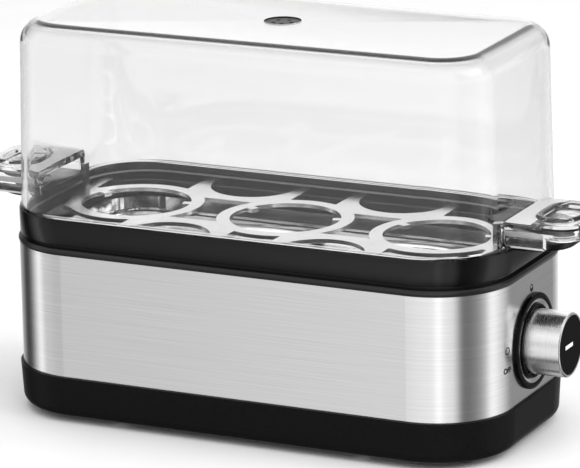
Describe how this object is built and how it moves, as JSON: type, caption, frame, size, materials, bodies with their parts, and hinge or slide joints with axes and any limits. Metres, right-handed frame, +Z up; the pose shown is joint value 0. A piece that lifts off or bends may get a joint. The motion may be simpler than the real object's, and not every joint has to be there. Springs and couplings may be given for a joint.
{
  "type": "electric egg cooker",
  "caption": "Long electric egg cooker with a brushed steel body, black base, lift-off egg tray and carrier, clear lid with end grips and a timer knob on one end.",
  "frame": {"origin": "on the table under the middle of the body", "axes": "+X along the body to the knob end, +Y to the back, +Z up"},
  "size_m": [0.25, 0.099, 0.151],
  "materials": {
    "black_plastic": "satin",
    "rubber": "matte",
    "zinc": "zinc plated",
    "brushed_steel": "brushed along its length",
    "collar_plastic": "semi gloss",
    "silicone": "matte",
    "polished_steel": "polished",
    "aluminium": "bare",
    "element_steel": "heat tinted",
    "phenolic": "matte",
    "fuse_case": "matte",
    "board": "solder mask",
    "relay_case": "gloss",
    "capacitor_case": "gloss",
    "white_plastic": "satin",
    "brown_lead": "satin",
    "blue_lead": "satin",
    "red_lead": "satin",
    "grey_lead": "satin",
    "gloss_black": "gloss",
    "pale_ring": "gloss",
    "knob_metal": "turned",
    "white_mark": "printed",
    "tray_plastic": "satin",
    "carrier_steel": "satin",
    "clear_lid": "clear polycarbonate",
    "grey_vent": "satin"
  },
  "bodies": {
    "base": {"base_tub": "black_plastic", "bottom_plate": "black_plastic", "rubber_feet": "rubber", "plate_screws": "zinc", "tie_screws": "zinc", "steel_sleeve": "brushed_steel", "top_collar": "collar_plastic", "bowl_seal": "silicone", "heating_bowl": "polished_steel", "heater_plate": "aluminium", "heating_element": "element_steel", "element_clamp": "zinc", "clamp_nut": "zinc", "thermostat": "phenolic", "thermal_fuse": "fuse_case", "fuse_clip": "zinc", "control_board": "board", "board_screws": "zinc", "relay": "relay_case", "capacitor": "capacitor_case", "buzzer": "black_plastic", "terminal_block": "white_plastic", "cord_gland": "rubber", "live_lead": "brown_lead", "neutral_lead": "blue_lead", "switched_lead": "red_lead", "dial_lead": "grey_lead", "dial_switch": "black_plastic", "dial_washer": "zinc", "dial_nut": "zinc", "dial_bezel": "gloss_black", "pilot_ring": "pale_ring"},
    "knob": {"dial_shaft": "aluminium", "dial_rotor": "white_plastic", "knob_core": "black_plastic", "knob_sleeve": "knob_metal", "knob_face": "gloss_black", "knob_pointer": "white_mark"},
    "egg_tray": {"tray_frame": "tray_plastic"},
    "carrier": {"egg_carrier": "carrier_steel"},
    "lid": {"lid_dome": "clear_lid", "steam_vent": "grey_vent"}
  },
  "joints": [
    {"name": "knob_turn", "type": "hinge", "parent": "base", "child": "knob", "pos_m": [0.11, 0, 0.0388], "axis": [-1, 0, 0], "range_deg": [-20, 200]},
    {"name": "tray_lift", "type": "slide", "parent": "base", "child": "egg_tray", "axis": [0, 0, 1], "range_m": [0, 0.04]},
    {"name": "carrier_lift", "type": "slide", "parent": "egg_tray", "child": "carrier", "axis": [0, 0, 1], "range_m": [0, 0.04]},
    {"name": "lid_lift", "type": "slide", "parent": "carrier", "child": "lid", "axis": [0, 0, 1], "range_m": [0, 0.09]}
  ]
}
